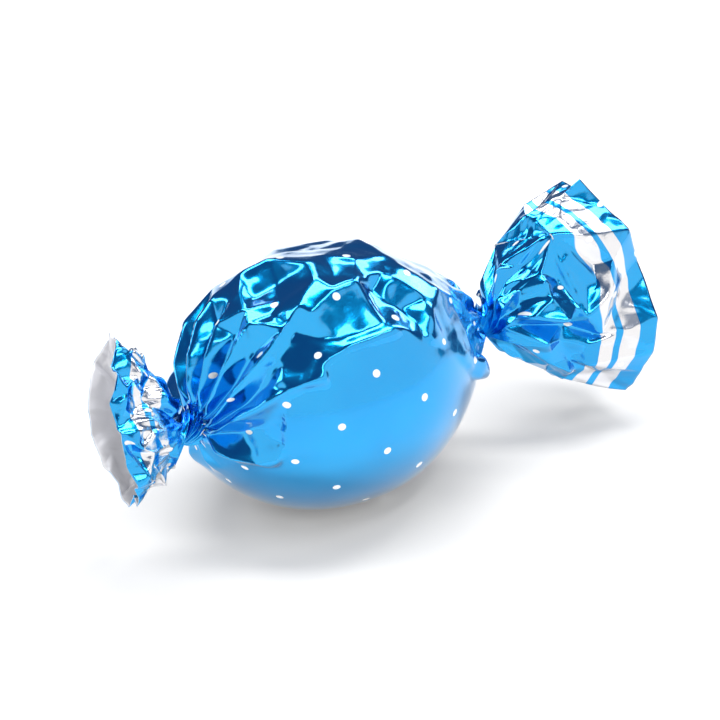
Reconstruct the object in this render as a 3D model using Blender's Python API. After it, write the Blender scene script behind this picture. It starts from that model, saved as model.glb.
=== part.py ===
"""A twist-wrapped caramel candy: a round sweet in metallised film, twisted shut at both ends.

The film is one sheet, so the candy is one solid. It is modelled as a loft: rings of points are placed along
the film, from inside the left tail, over its cut edge, down to the left twist, over the sweet, through the
right twist and over the right cut edge to the floor of the right tail's cup. Metres, +X from the left to the
right twist, +Z up, and the origin on the surface that the candy lies on, under the middle of its bounding box.
"""

import math
from dataclasses import dataclass

import bmesh
import bpy
import numpy as np
from mathutils import Vector
from mathutils.geometry import delaunay_2d_cdt

MM = 0.001

# Driving dimensions
BODY_RADIUS = 13.6 * MM  # of the wrapped sweet, at its middle
TWIST_AT = 17.9 * MM  # from the middle of the sweet to each twist
REST_HEIGHT = 12.9 * MM  # of the sweet's middle; the film goes flat where it would reach lower
NECK_RADIUS = 1.75 * MM
NECK_LENGTH = 2.0 * MM
FILM_THICKNESS = 0.42 * MM  # the real film is about 0.03 mm, too thin for a solid
CUP_GAP = 0.3 * MM  # the least half-gap that is left between the two faces inside a tail

# The sweet's outline to the left and to the right: how full it is, and how round at its end
BODY_FULLNESS = {-1: 2.25, 1: 2.0}
BODY_END_ROUNDING = {-1: 0.70, 1: 0.92}

# Relief of the film: pleats run out from the twists, and facets are the flat pieces between random creases
NECK_PLEAT = 0.5 * MM
BODY_PLEAT = {-1: 1.5 * MM, 1: 1.1 * MM}
VALLEY_LEAN = (0.60, 0.36)  # where a valley lies between its ridge and the next, in turn round the film
VALLEY_REACH = 0.85  # of its ridge's reach over the sweet
FACET_SPACING = {"body": 5.6 * MM, "tail": 5.0 * MM}
FACET_HEIGHT = {"body": 1.05 * MM, "tail": 0.8 * MM}
FACET_JITTER = 0.42  # of the spacing
RIM_WAVE = 0.35  # how far a ridge pulls the cut edge back, as a share of its height

# The smooth, tight side of the film faces down and towards -Y; the rest is crumpled
CREASE_LINE_DEG = 139.0
CREASE_RISE_DEG = {-1: 100.0, 1: 130.0}
CREASE_RISE_POWER = {-1: 5.0, 1: 2.0}
CREASE_BLEND_DEG = 7.0
BACK_LINE_DEG = 318.0
BACK_BLEND_DEG = 20.0
SMOOTH_SIDE_PLEATS = 0.12
SMOOTH_SIDE_FACETS = 0.08

# Distances along the film over which one kind of relief gives way to another
PLEAT_GROWTH = 5.0 * MM
PLEATED_END = (2.0 * MM, 7.0 * MM)
FACET_GROWTH = (0.5 * MM, 6.0 * MM)
RUFFLE_GROWTH = 6.0 * MM
CRUMPLE_GROWTH = 7.0 * MM
RIM_WAVE_GROWTH = 9.0 * MM

# The inside of a tail: where the cup's floor is, and how much thicker a steep fold's wall may be
CUP_FLOOR = 2.6 * MM
STEEPEST_WALL = 2.0
CORNER_RADIUS = 0.5 * MM
SLOPE_STEP = 1e-3

# Mesh density
POINTS_AROUND = 80
HALF_BODY_RINGS = 14
NECK_RINGS = 3
TAIL_RINGS = 9
CUP_RINGS = 7
PROFILE_STEPS = 400
AXIS_STEPS = 24


@dataclass
class Tail:
    """One end of the film: its pleats, the cup that it opens into, and the way that the cup points.

    pleats lists each ridge round the film: its angle, its height, how far it runs over the sweet in
    millimetres, and the depth of the valley that follows it. Heights and depths are shares of the ruffle.
    The cup is flattened: wide_flare and thin_flare are its half-angles at the twist and at the cut edge, in
    degrees, both ways across it.
    """

    side: int
    pleats: tuple
    length: float  # of film from the twist to the cut edge
    wide_flare: tuple
    thin_flare: tuple
    flat_deg: float  # the way that the flattened cup is wide, turned from +Y towards +Z
    lead: float  # how much further the film reaches on one side, and which side that is
    lead_deg: float
    ruffle: float
    squash: float
    turn_deg: float  # of the twist
    rise_deg: float
    swing_deg: float

    def __post_init__(self):
        ridge = np.radians([p[0] for p in self.pleats])
        gap = np.diff(np.append(ridge, ridge[0] + 2 * math.pi))
        lean = np.resize(VALLEY_LEAN, len(ridge))
        self.angle = np.stack([ridge, ridge + lean * gap], 1).ravel()
        self.height = np.array([(p[1], -p[3]) for p in self.pleats]).ravel()
        self.reach = np.array([(p[2], VALLEY_REACH * p[2]) for p in self.pleats]).ravel() * MM


LEFT = Tail(
    side=-1,
    pleats=(
        (8, 0.8, 9.0, 0.7),
        (44, 0.9, 12.0, 0.8),
        (76, 0.8, 14.0, 0.9),
        (98, 1.0, 11.0, 0.7),
        (117, 0.8, 15.0, 1.0),
        (139, 1.0, 12.5, 0.8),
        (158, 0.8, 14.0, 1.0),
        (184, 0.9, 7.5, 0.7),
        (212, 1.0, 7.0, 1.0),
        (248, 0.7, 5.0, 0.5),
        (284, 0.8, 6.0, 0.6),
        (326, 0.9, 8.0, 0.7),
    ),
    length=10.1 * MM,
    wide_flare=(66.0, 24.0),
    thin_flare=(16.0, -8.0),
    flat_deg=51.0,
    lead=0.02,
    lead_deg=321.0,
    ruffle=1.2 * MM,
    squash=0.7,
    turn_deg=150.0,
    rise_deg=24.0,
    swing_deg=0.0,
)
RIGHT = Tail(
    side=1,
    pleats=(
        (14, 0.9, 8.0, 0.8),
        (52, 0.8, 9.5, 0.7),
        (88, 1.0, 7.5, 0.9),
        (118, 0.8, 9.0, 0.8),
        (146, 0.9, 6.5, 1.0),
        (176, 1.0, 5.0, 0.7),
        (214, 0.8, 5.5, 0.9),
        (254, 0.9, 5.0, 0.6),
        (296, 0.8, 6.0, 0.8),
        (334, 1.0, 7.0, 0.7),
    ),
    length=17.4 * MM,
    wide_flare=(54.0, 15.0),
    thin_flare=(28.0, -8.0),
    flat_deg=58.0,
    lead=0.06,
    lead_deg=148.0,
    ruffle=1.5 * MM,
    squash=1.0,
    turn_deg=-170.0,
    rise_deg=-1.0,
    swing_deg=-4.0,
)


def smooth_step(low, high, value):
    """0 below low, 1 above high, and a smooth ramp between."""
    t = np.clip((value - low) / (high - low), 0.0, 1.0)
    return t * t * (3.0 - 2.0 * t)


def body_radius(x):
    """Radius of the wrapped sweet at x, falling to the twist's radius at both ends."""
    left = x < 0.0
    fullness = np.where(left, BODY_FULLNESS[-1], BODY_FULLNESS[1])
    rounding = np.where(left, BODY_END_ROUNDING[-1], BODY_END_ROUNDING[1])
    inside = np.clip(1.0 - (np.abs(x) / TWIST_AT) ** fullness, 0.0, 1.0)
    return NECK_RADIUS + (BODY_RADIUS - NECK_RADIUS) * inside**rounding


def body_stations(side):
    """Distances along the film from the sweet's middle to one twist, and the x at each."""
    x = side * TWIST_AT * np.sin(np.linspace(0.0, math.pi / 2, PROFILE_STEPS))
    r = body_radius(x)
    along = np.concatenate([[0.0], np.cumsum(np.hypot(np.diff(x), np.diff(r)))])
    return along, x


BODY_STATIONS = {side: body_stations(side) for side in (-1, 1)}
BODY_FILM = {side: float(BODY_STATIONS[side][0][-1]) for side in (-1, 1)}  # film from the middle to each twist


def flare(length, half_angles, along):
    """Radius and reach of a tail's cup at a distance along the film from the twist.

    The film leaves the twist at a wide angle and straightens towards the cut edge, so the cup is a tulip's.
    """
    at_twist, at_edge = np.radians(half_angles)
    bend = at_edge - at_twist
    angle = at_twist + bend * np.clip(along / length, 0.0, 1.0)
    radius = (math.cos(at_twist) - np.cos(angle)) * length / bend
    reach = (np.sin(angle) - math.sin(at_twist)) * length / bend
    return NECK_RADIUS + radius, reach


def pleat_star(tail, around, over_body=0.0):
    """Height, from -1 to 1, of the pleats at an angle round the film.

    It is straight between each ridge and valley, so the creases are sharp. Over the sweet each crease fades out
    at its own distance from the twist.
    """
    total = np.zeros(np.shape(around))
    count = len(tail.angle)
    for j in range(count):
        before = (tail.angle[j] - tail.angle[j - 1]) % (2 * math.pi)
        after = (tail.angle[(j + 1) % count] - tail.angle[j]) % (2 * math.pi)
        offset = (around - tail.angle[j] + math.pi) % (2 * math.pi) - math.pi
        slope = np.where(offset < 0.0, 1.0 + offset / before, 1.0 - offset / after)
        fade = np.clip(1.0 - over_body / tail.reach[j], 0.0, 1.0)
        total += tail.height[j] * np.clip(slope, 0.0, 1.0) * fade
    return total


class Facets:
    """Flat crumpled facets: random heights at random points of the film, joined by flat triangles."""

    def __init__(self, seed, spacing, low, high):
        random = np.random.default_rng(seed)
        self.girth = 2 * math.pi * BODY_RADIUS
        rows = round((high - low) / spacing)
        columns = round(self.girth / spacing)
        row, column = np.divmod(np.arange((rows + 1) * columns), columns)
        points = np.stack([low + row * spacing, (column + 0.5 * (row % 2)) * self.girth / columns], 1)
        points += random.uniform(-FACET_JITTER, FACET_JITTER, points.shape) * spacing
        self.points = np.concatenate([points + (0.0, k * self.girth) for k in (-1, 0, 1)])
        self.heights = np.tile(random.uniform(-1.0, 1.0, len(points)), 3)
        found = delaunay_2d_cdt([Vector(p / MM) for p in self.points], [], [], 0, 1e-7)
        order = np.array([ids[0] for ids in found[3]])
        self.triangles = order[np.array([t for t in found[2] if len(t) == 3])]

    def height(self, along, around):
        """Height from -1 to 1 at points of the film given in metres and radians."""
        spot = np.stack([along, around % (2 * math.pi) * self.girth / (2 * math.pi)], 1)
        out = np.zeros(len(spot))
        for corners in self.triangles:
            first, second, third = self.points[corners]
            sides = np.array([second - first, third - first]).T
            share = np.linalg.solve(sides, (spot - first).T)
            inside = (share >= 0.0).all(0) & (share.sum(0) <= 1.0)
            weights = np.stack([1.0 - share[0] - share[1], share[0], share[1]])[:, inside]
            out[inside] = self.heights[corners] @ weights
        return out


BODY_FACETS = Facets(3, FACET_SPACING["body"], -30 * MM, 30 * MM)
TAIL_FACETS = Facets(8, FACET_SPACING["tail"], -4 * MM, 26 * MM)


def crumple_share(side, x, around):
    """1 where the film over the sweet is loose and crumpled, 0 on its tight smooth side."""
    degrees = np.degrees(around) % 360.0
    line = CREASE_LINE_DEG + CREASE_RISE_DEG[side] * np.abs(x / TWIST_AT) ** CREASE_RISE_POWER[side]
    front = smooth_step(line + CREASE_BLEND_DEG, line - CREASE_BLEND_DEG, degrees)
    back = smooth_step(BACK_LINE_DEG - BACK_BLEND_DEG, BACK_LINE_DEG + BACK_BLEND_DEG, degrees)
    return np.clip(front + back, 0.0, 1.0)


def body_points(tail, share, around):
    """Points of the film over one half of the sweet: share runs from 0 at its middle to 1 at the twist."""
    along = share * BODY_FILM[tail.side]
    x = np.interp(along, *BODY_STATIONS[tail.side])
    to_twist = BODY_FILM[tail.side] - along
    loose = crumple_share(tail.side, x, around)
    pleated = np.clip(loose + 1.0 - smooth_step(*PLEATED_END, to_twist), SMOOTH_SIDE_PLEATS, 1.0)
    faceted = np.clip(loose, SMOOTH_SIDE_FACETS, 1.0) * smooth_step(*FACET_GROWTH, to_twist)
    pleat_height = NECK_PLEAT + (BODY_PLEAT[tail.side] - NECK_PLEAT) * smooth_step(0.0, PLEAT_GROWTH, to_twist)
    radius = body_radius(x) + pleat_star(tail, around, to_twist) * pleat_height * pleated
    radius = radius + BODY_FACETS.height(tail.side * along, around) * FACET_HEIGHT["body"] * faceted
    z = np.maximum(REST_HEIGHT + radius * np.sin(around), 0.0)
    return np.stack([x, radius * np.cos(around), z], -1)


def direction(tail, share):
    """Unit vector along the tail's axis where it has a share of its whole rise and swing."""
    rise, swing = math.radians(tail.rise_deg) * share, math.radians(tail.swing_deg) * share
    return np.stack([tail.side * np.cos(rise) * np.cos(swing), np.cos(rise) * np.sin(swing), np.sin(rise)], -1)


def bend_share(reach):
    """The share of a tail's rise and swing that it has at a distance beyond the twist."""
    return smooth_step(-0.5 * NECK_LENGTH, 1.5 * NECK_LENGTH, reach)


def tail_axis(tail, reach):
    """Point of the tail's bent axis at a distance beyond the twist, and the ways ahead, across and up there."""
    point = np.array([tail.side * TWIST_AT, 0.0, REST_HEIGHT])
    for k in range(AXIS_STEPS):
        middle = (k + 0.5) / AXIS_STEPS * reach
        point = point + direction(tail, bend_share(middle)) * (reach / AXIS_STEPS)[:, None]
    ahead = direction(tail, bend_share(reach))
    across = np.stack([-ahead[:, 1], ahead[:, 0], np.zeros(len(ahead))], -1) * tail.side
    across /= np.linalg.norm(across, axis=1, keepdims=True)
    return point, across, np.cross(ahead, across) * tail.side


def tail_points(tail, along, around, wall=0.0):
    """Points of the film from the twist outwards; wall is above 0 for the cup's inner face."""
    beyond = np.clip(along - NECK_LENGTH, 0.0, None)
    turned = around + math.radians(tail.turn_deg) * smooth_step(-0.5 * NECK_LENGTH, 2.0 * NECK_LENGTH, along)
    phase = turned - math.radians(tail.flat_deg)
    wide, wide_reach = flare(tail.length, tail.wide_flare, beyond)
    thin, thin_reach = flare(tail.length, tail.thin_flare, beyond)
    ruffle = NECK_PLEAT + (tail.ruffle - NECK_PLEAT) * smooth_step(0.0, RUFFLE_GROWTH, beyond)
    star = pleat_star(tail, around)
    slope = (pleat_star(tail, around + SLOPE_STEP) - star) / SLOPE_STEP * ruffle
    crumple = TAIL_FACETS.height(along, around) * FACET_HEIGHT["tail"]
    crumple = crumple * smooth_step(0.0, CRUMPLE_GROWTH, beyond)
    bulge = star * ruffle + crumple
    least = STEEPEST_WALL * FILM_THICKNESS + CUP_GAP
    local_radius = np.hypot(wide * np.sin(phase), thin * np.cos(phase)) + CORNER_RADIUS
    inset = wall * np.minimum(np.hypot(1.0, slope / local_radius), STEEPEST_WALL)
    wide_at = np.maximum(wide + bulge, least) - inset
    thin_at = np.maximum(thin + tail.squash * bulge, least) - inset
    share = np.cos(phase) ** 2
    reach = wide_reach * share + thin_reach * (1.0 - share)
    reach -= RIM_WAVE * star * ruffle * smooth_step(0.0, RIM_WAVE_GROWTH, beyond)
    reach *= 1.0 + tail.lead * np.cos(turned - math.radians(tail.lead_deg))
    point, across, upward = tail_axis(tail, np.minimum(along, NECK_LENGTH) + reach)
    lean = math.radians(tail.flat_deg)
    widest = math.cos(lean) * across + math.sin(lean) * upward
    thinnest = math.cos(lean) * upward - math.sin(lean) * across
    return point + widest * (wide_at * np.cos(phase))[:, None] + thinnest * (thin_at * np.sin(phase))[:, None]


def ring(points_of, tail, place, *more):
    """One ring of the loft: points_of at a place along the film, at even angles all round."""
    around = np.arange(POINTS_AROUND) * 2 * math.pi / POINTS_AROUND
    return points_of(tail, np.full(POINTS_AROUND, place), around, *more)


def tail_rings(tail):
    """The rings of one tail in order, from the floor of its cup, over the cut edge, to the twist."""
    whole = NECK_LENGTH + tail.length
    inner = np.linspace(NECK_LENGTH + CUP_FLOOR, whole, CUP_RINGS)
    outer = np.linspace(whole, NECK_LENGTH, TAIL_RINGS)
    neck = np.linspace(NECK_LENGTH, 0.0, NECK_RINGS + 1)[1:]
    cup = [ring(tail_points, tail, place, FILM_THICKNESS) for place in inner]
    return cup + [ring(tail_points, tail, place) for place in (*outer, *neck)]


def body_rings(tail):
    """The rings over one half of the sweet, outwards, without the middle one and the twist's own."""
    return [ring(body_points, tail, share) for share in np.linspace(0.0, 1.0, HALF_BODY_RINGS + 2)[1:-1]]


def all_rings():
    """Every ring of the loft, with the middle of their bounding box moved over the origin."""
    left = tail_rings(LEFT) + body_rings(LEFT)[::-1]
    right = body_rings(RIGHT) + tail_rings(RIGHT)[::-1]
    rings = np.array(left + [ring(body_points, RIGHT, 0.0)] + right)
    middle = (rings.min((0, 1)) + rings.max((0, 1))) / 2
    return rings - (middle[0], middle[1], 0.0)


def loft(name, rings, material):
    """One closed mesh through the rings: a circle extruded from ring to ring, each end drawn in to a point."""
    mesh = bmesh.new()
    place = mesh.verts.layers.int.new("place_in_ring")
    bmesh.ops.create_circle(mesh, segments=POINTS_AROUND, radius=1.0)
    mesh.verts.ensure_lookup_table()
    for i in range(POINTS_AROUND):
        mesh.verts[i][place] = i
    row, edges = list(mesh.verts), list(mesh.edges)
    first = edges
    set_ring(row, place, rings[0])
    for ring in rings[1:]:
        row, edges = extruded(mesh, edges)
        set_ring(row, place, ring)
    for ring_edges, ring in ((first, rings[0]), (edges, rings[-1])):
        tip, _ = extruded(mesh, ring_edges)
        bmesh.ops.pointmerge(mesh, verts=tip, merge_co=Vector(ring.mean(0)))
    bmesh.ops.recalc_face_normals(mesh, faces=mesh.faces)
    bmesh.ops.triangulate(mesh, faces=mesh.faces)
    data = bpy.data.meshes.new(name)
    mesh.to_mesh(data)
    mesh.free()
    data.materials.append(material)
    data.shade_smooth()
    data.set_sharp_from_angle(angle=math.radians(35))
    candy = bpy.data.objects.new(name, data)
    bpy.context.scene.collection.objects.link(candy)
    return candy


def extruded(mesh, edges):
    """The new points and edges of a loop of edges that is extruded once."""
    made = bmesh.ops.extrude_edge_only(mesh, edges=edges)["geom"]
    points = [g for g in made if isinstance(g, bmesh.types.BMVert)]
    fresh = set(points)
    return points, [g for g in made if isinstance(g, bmesh.types.BMEdge) and fresh.issuperset(g.verts)]


def set_ring(points, place, ring):
    """Move a row of points to its ring, each by its own place in the row."""
    for point in points:
        point.co = ring[point[place]]


def film_material():
    """Blue metallised film."""
    material = bpy.data.materials.new("blue_film")
    material.use_nodes = True
    shader = material.node_tree.nodes["Principled BSDF"]
    shader.inputs["Base Color"].default_value = (0.02, 0.30, 0.85, 1.0)
    shader.inputs["Metallic"].default_value = 0.9
    shader.inputs["Roughness"].default_value = 0.2
    return material


def main():
    for old in list(bpy.data.objects):
        bpy.data.objects.remove(old)
    loft("wrapped_candy", all_rings(), film_material())


main()
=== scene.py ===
"""Looks of a twist-wrapped caramel candy: blue metallised film round a sweet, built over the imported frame.

The film is a net of flat facets between creases, drawn on the flat film: a place on it is a distance along
the candy and a distance round it. The same places carry the print, so the dots and stripes follow every fold.
"""

from __future__ import annotations

import logging
import math
from dataclasses import dataclass, field
from enum import Enum
from typing import Any

import bmesh
import bpy
import numpy as np
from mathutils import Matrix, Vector
from mathutils.geometry import delaunay_2d_cdt

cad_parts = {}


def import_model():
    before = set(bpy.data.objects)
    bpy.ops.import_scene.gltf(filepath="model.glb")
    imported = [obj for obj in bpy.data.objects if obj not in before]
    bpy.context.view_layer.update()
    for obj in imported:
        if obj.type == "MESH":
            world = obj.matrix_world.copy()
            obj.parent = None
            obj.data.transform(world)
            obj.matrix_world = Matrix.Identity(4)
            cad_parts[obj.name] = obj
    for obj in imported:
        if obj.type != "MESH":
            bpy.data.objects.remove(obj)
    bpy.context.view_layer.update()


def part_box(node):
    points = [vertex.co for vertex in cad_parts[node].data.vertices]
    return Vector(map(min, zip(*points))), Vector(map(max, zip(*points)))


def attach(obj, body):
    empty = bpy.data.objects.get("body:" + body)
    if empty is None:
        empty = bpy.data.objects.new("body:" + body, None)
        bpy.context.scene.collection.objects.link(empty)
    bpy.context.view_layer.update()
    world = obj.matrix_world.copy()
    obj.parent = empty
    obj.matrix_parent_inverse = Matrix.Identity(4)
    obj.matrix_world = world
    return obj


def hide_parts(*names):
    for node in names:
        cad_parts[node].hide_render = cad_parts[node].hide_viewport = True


MM = 0.001
NODE = "wrapped_candy"
PRINT_SCALE = 0.1  # metres of flat film to one unit of the print's UV map
SLACK = 1e-6  # of a share of a facet, and in mm between places of a net
WELD = 1e-7  # metres, within which points are one
NOTHING = 1e-12  # an area or a length to leave out
CLEARANCE = 0.42  # of the step between free facets, kept clear round the places of pleats and folds
NET_FROM = (0.2 * MM, 1.2 * MM)  # from a twist, where the net of creases takes over from the plain neck
SOFT_PASSES = 2  # that give the creases their radius
LIT_POINT = Vector((0.0, 0.0, 12.0 * MM))  # that the soft panels face

Array = np.ndarray
Pair = tuple[float, float]
Colour = tuple[float, float, float, float]

log = logging.getLogger("candy")


class End(Enum):
    """One end of the candy: its sign along X."""

    LEFT = -1
    RIGHT = 1


def smooth_step(low: float, high: float, value: Array) -> Array:
    """A smooth ramp.

    Args:
        low: Where the ramp starts, at 0.
        high: Where it ends, at 1.
        value: Where it is read.

    Returns:
        The ramp's values, from 0 to 1.
    """
    t = np.clip((value - low) / (high - low), 0.0, 1.0)
    return t * t * (3.0 - 2.0 * t)


@dataclass(frozen=True)
class CreaseNet:
    """Flat facets between creases: places on the flat film, each joined to its neighbours."""

    spots: Array  # places along and round the film, within one girth
    girth: float
    creases: tuple[tuple[int, int], ...] = ()  # places that a crease joins whatever lies between

    def triangles(self) -> tuple[Array, Array]:
        """Facets of the net, repeated to both sides of the seam.

        Returns:
            Corners of each facet on the flat film, and the spot at each corner.
        """
        count = len(self.spots)
        spots = np.concatenate([self.spots + (0.0, k * self.girth) for k in (-1, 0, 1)])
        creases = [(a + k * count, b + k * count) for k in range(3) for a, b in self.creases]
        made = delaunay_2d_cdt([Vector(p / MM) for p in spots], creases, [], 0, SLACK)
        where = np.array([tuple(v) for v in made[0]]) * MM
        source = [ids[0] if ids else np.argmin(((spots - w) ** 2).sum(1)) for ids, w in zip(made[3], where)]
        faces = np.array([face for face in made[2] if len(face) == 3])
        return where[faces], np.array(source)[faces] % count

    def spread(self, values: Array, along: Array, around: Array) -> Array:
        """Values over a grid, straight across each facet.

        Args:
            values: A row of values for each spot.
            along: Distances along the candy, rising.
            around: Distances round it, rising, within one girth.

        Returns:
            The values: rows of the grid, columns, and the values of each.
        """
        out = np.zeros((len(along), len(around), values.shape[1]))
        for places, ids in zip(*self.triangles()):
            low, high = places.min(0), places.max(0)
            rows = slice(np.searchsorted(along, low[0] - WELD), np.searchsorted(along, high[0] + WELD))
            columns = slice(np.searchsorted(around, low[1] - WELD), np.searchsorted(around, high[1] + WELD))
            (a, b), (c, d) = places[1] - places[0], places[2] - places[0]
            area = a * d - b * c
            if abs(area) < NOTHING:
                continue
            u = along[rows, None] - places[0][0]
            v = around[None, columns] - places[0][1]
            near, far = (u * d - v * c) / area, (v * a - u * b) / area
            inside = (near >= -SLACK) & (far >= -SLACK) & (near + far <= 1.0 + SLACK)
            weights = np.stack([1.0 - near - far, near, far], -1)
            out[rows, columns] = np.where(inside[..., None], weights @ values[ids], out[rows, columns])
        return out


def lattice(seed: int, span: Pair, step: float, girth: float, jitter: float = 0.42) -> Array:
    """Places scattered evenly over the flat film.

    Args:
        seed: Of the random shifts.
        span: From where to where along the candy.
        step: Between neighbours.
        girth: Of the film.
        jitter: How far each place is shifted, as a share of the step.

    Returns:
        The places.
    """
    rows, columns = round((span[1] - span[0]) / step), round(girth / step)
    row, column = np.divmod(np.arange((rows + 1) * columns), columns)
    spots = np.stack([span[0] + row * step, (column + 0.5 * (row % 2)) * girth / columns], 1)
    return spots + np.random.default_rng(seed).uniform(-jitter, jitter, spots.shape) * step


def fine_creases(seed: int, step: float, height: float, girth: float, along: Array, around: Array) -> Array:
    """Heights of small creases over a grid of the flat film.

    Args:
        seed: Of their places and heights.
        step: Between neighbouring places.
        height: The most that a place stands up or down.
        girth: Of the film.
        along: Distances along the candy, rising.
        around: Distances round it, rising.

    Returns:
        The heights.
    """
    spots = lattice(seed, (along[0] - 2 * step, along[-1] + 2 * step), step, girth)
    height_seed = seed + 100
    heights = np.random.default_rng(height_seed).uniform(-height, height, (len(spots), 1))
    return CreaseNet(spots, girth).spread(heights, along, around)[..., 0]


@dataclass(frozen=True)
class Pleats:
    """Ridges and valleys that run out from a twist, straight between each ridge and the next valley."""

    ridges: tuple[tuple[float, float, float, float], ...]  # angle, height, reach in mm, valley depth
    seed: int
    valley_lean: Pair = (0.60, 0.36)
    valley_reach: float = 0.85
    drift: float = 7.0  # radians that a crease may wander for each metre from the twist
    set_apart: Pair = (0.0, 0.0)  # degrees between which FOLDS has the folds over the sweet

    def lines(self) -> tuple[Array, Array, Array, Array]:
        """Ridges and valleys, in turn round the film.

        Returns:
            Angle, height, reach and drift of each.
        """
        ridge = np.radians([r[0] for r in self.ridges])
        gap = np.diff(np.append(ridge, ridge[0] + 2 * math.pi))
        angle = np.stack([ridge, ridge + np.resize(self.valley_lean, len(ridge)) * gap], 1).ravel()
        height = np.array([(r[1], -r[3]) for r in self.ridges]).ravel()
        reach = np.array([(r[2], self.valley_reach * r[2]) for r in self.ridges]).ravel() * MM
        drift = np.random.default_rng(self.seed).uniform(-self.drift, self.drift, len(angle))
        return angle, height, reach, drift

    def star(self, angles: Array) -> Array:
        """Shape of the pleats round the twist.

        Args:
            angles: Where it is read, in radians.

        Returns:
            Shares of the pleats' height, from -1 in the valleys to 1 on the ridges.
        """
        angle, height = self.lines()[:2]
        total = np.zeros(np.shape(angles))
        for j in range(len(angle)):
            before = (angle[j] - angle[j - 1]) % (2 * math.pi)
            after = (angle[(j + 1) % len(angle)] - angle[j]) % (2 * math.pi)
            offset = (angles - angle[j] + math.pi) % (2 * math.pi) - math.pi
            tent = np.where(offset < 0.0, 1.0 + offset / before, 1.0 - offset / after)
            total += height[j] * np.clip(tent, 0.0, 1.0)
        return total


def soften(values: Array, passes: int) -> Array:
    """Creases with a small radius: each pass spreads a value over its neighbours.

    Args:
        values: Values over a grid whose last column meets its first.
        passes: How often.

    Returns:
        The softened values.
    """
    out = values.copy()
    for _ in range(passes):
        out[:, :-1] = (np.roll(out[:, :-1], 1, 1) + 2.0 * out[:, :-1] + np.roll(out[:, :-1], -1, 1)) / 4.0
        out[:, -1] = out[:, 0]
        out[1:-1] = (out[:-2] + 2.0 * out[1:-1] + out[2:]) / 4.0
    return out


def normals(points: Array) -> Array:
    """Directions square to a tube's surface.

    Args:
        points: Rings x columns x 3, with the last column on the first.

    Returns:
        Unit vectors, outwards where the rings follow each other along +X.
    """
    ring = np.gradient(points, axis=0)
    padded = np.concatenate([points[:, -2:-1], points, points[:, 1:2]], 1)
    square = np.cross((padded[:, 2:] - padded[:, :-2]) / 2.0, ring)
    return square / np.maximum(np.linalg.norm(square, axis=-1, keepdims=True), NOTHING)


@dataclass(frozen=True)
class FilmPatch:
    """A tube of film on a grid, with what the finish needs to know at each of its rings."""

    points: Array  # rings x columns x 3; the last column lies on the first
    along: Array  # of each ring, on the flat film
    around: Array  # of each column, on the flat film
    from_edge: Array  # of each ring, from the cut edge
    lining: Array  # 1 for a ring on the inner face

    def build(self, name: str) -> bpy.types.Object:
        """The piece.

        Args:
            name: The piece's name.

        Returns:
            Its object, linked to the scene, with a UV map of the flat film and both ends closed.
        """
        rings, columns = self.points.shape[:2]
        data = bpy.data.meshes.new(name)
        mesh = bmesh.new()
        mesh.loops.layers.uv.new("print")
        bmesh.ops.create_grid(mesh, x_segments=columns - 1, y_segments=rings - 1, size=0.5, calc_uvs=True)
        mesh.to_mesh(data)
        mesh.free()
        self.lay_out(data)
        self.close(data)
        data.shade_smooth()
        return link(name, data)

    def lay_out(self, data: bpy.types.Mesh) -> None:
        """Move the grid's points to their places in the film, and store the print's coordinates.

        Args:
            data: The flat grid, one unit across.
        """
        rings, columns = self.points.shape[:2]
        flat = np.empty(len(data.vertices) * 3, np.float32)
        data.vertices.foreach_get("co", flat)
        flat = flat.reshape(-1, 3)
        column = np.rint((flat[:, 0] + 0.5) * (columns - 1)).astype(int)
        ring = np.rint((flat[:, 1] + 0.5) * (rings - 1)).astype(int)
        data.vertices.foreach_set("co", self.points[ring, column].astype(np.float32).ravel())
        corner = np.empty(len(data.loops), np.int32)
        data.loops.foreach_get("vertex_index", corner)
        printed = np.stack([self.around[column] / PRINT_SCALE, self.along[ring] / PRINT_SCALE + 0.5], 1)
        data.uv_layers[0].data.foreach_set("uv", printed[corner].astype(np.float32).ravel())
        for label, values in (("from_edge", self.from_edge), ("lining", self.lining)):
            layer = data.attributes.new(label, "FLOAT", "POINT")
            layer.data.foreach_set("value", values[ring].astype(np.float32))
        layer = data.attributes.new("grid_place", "INT", "POINT")
        layer.data.foreach_set("value", (ring * columns + column).astype(np.int32))

    def close(self, data: bpy.types.Mesh) -> None:
        """Weld the tube's seam, and draw each end in to a point.

        Args:
            data: The mesh, laid out.
        """
        rings, columns = self.points.shape[:2]
        mesh = bmesh.new()
        mesh.from_mesh(data)
        place = mesh.verts.layers.int["grid_place"]
        seam = [v for v in mesh.verts if v[place] % columns in (0, columns - 1)]
        bmesh.ops.remove_doubles(mesh, verts=seam, dist=WELD)
        for ring in (0, rings - 1):
            open_edges = [e for e in mesh.edges if e.is_boundary]
            rim = [e for e in open_edges if all(v[place] // columns == ring for v in e.verts)]
            made = bmesh.ops.extrude_edge_only(mesh, edges=rim)["geom"]
            tip = [g for g in made if isinstance(g, bmesh.types.BMVert)]
            bmesh.ops.pointmerge(mesh, verts=tip, merge_co=Vector(self.points[ring].mean(0)))
        mesh.verts.layers.int.remove(place)
        bmesh.ops.recalc_face_normals(mesh, faces=mesh.faces)
        mesh.to_mesh(data)
        mesh.free()


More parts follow.
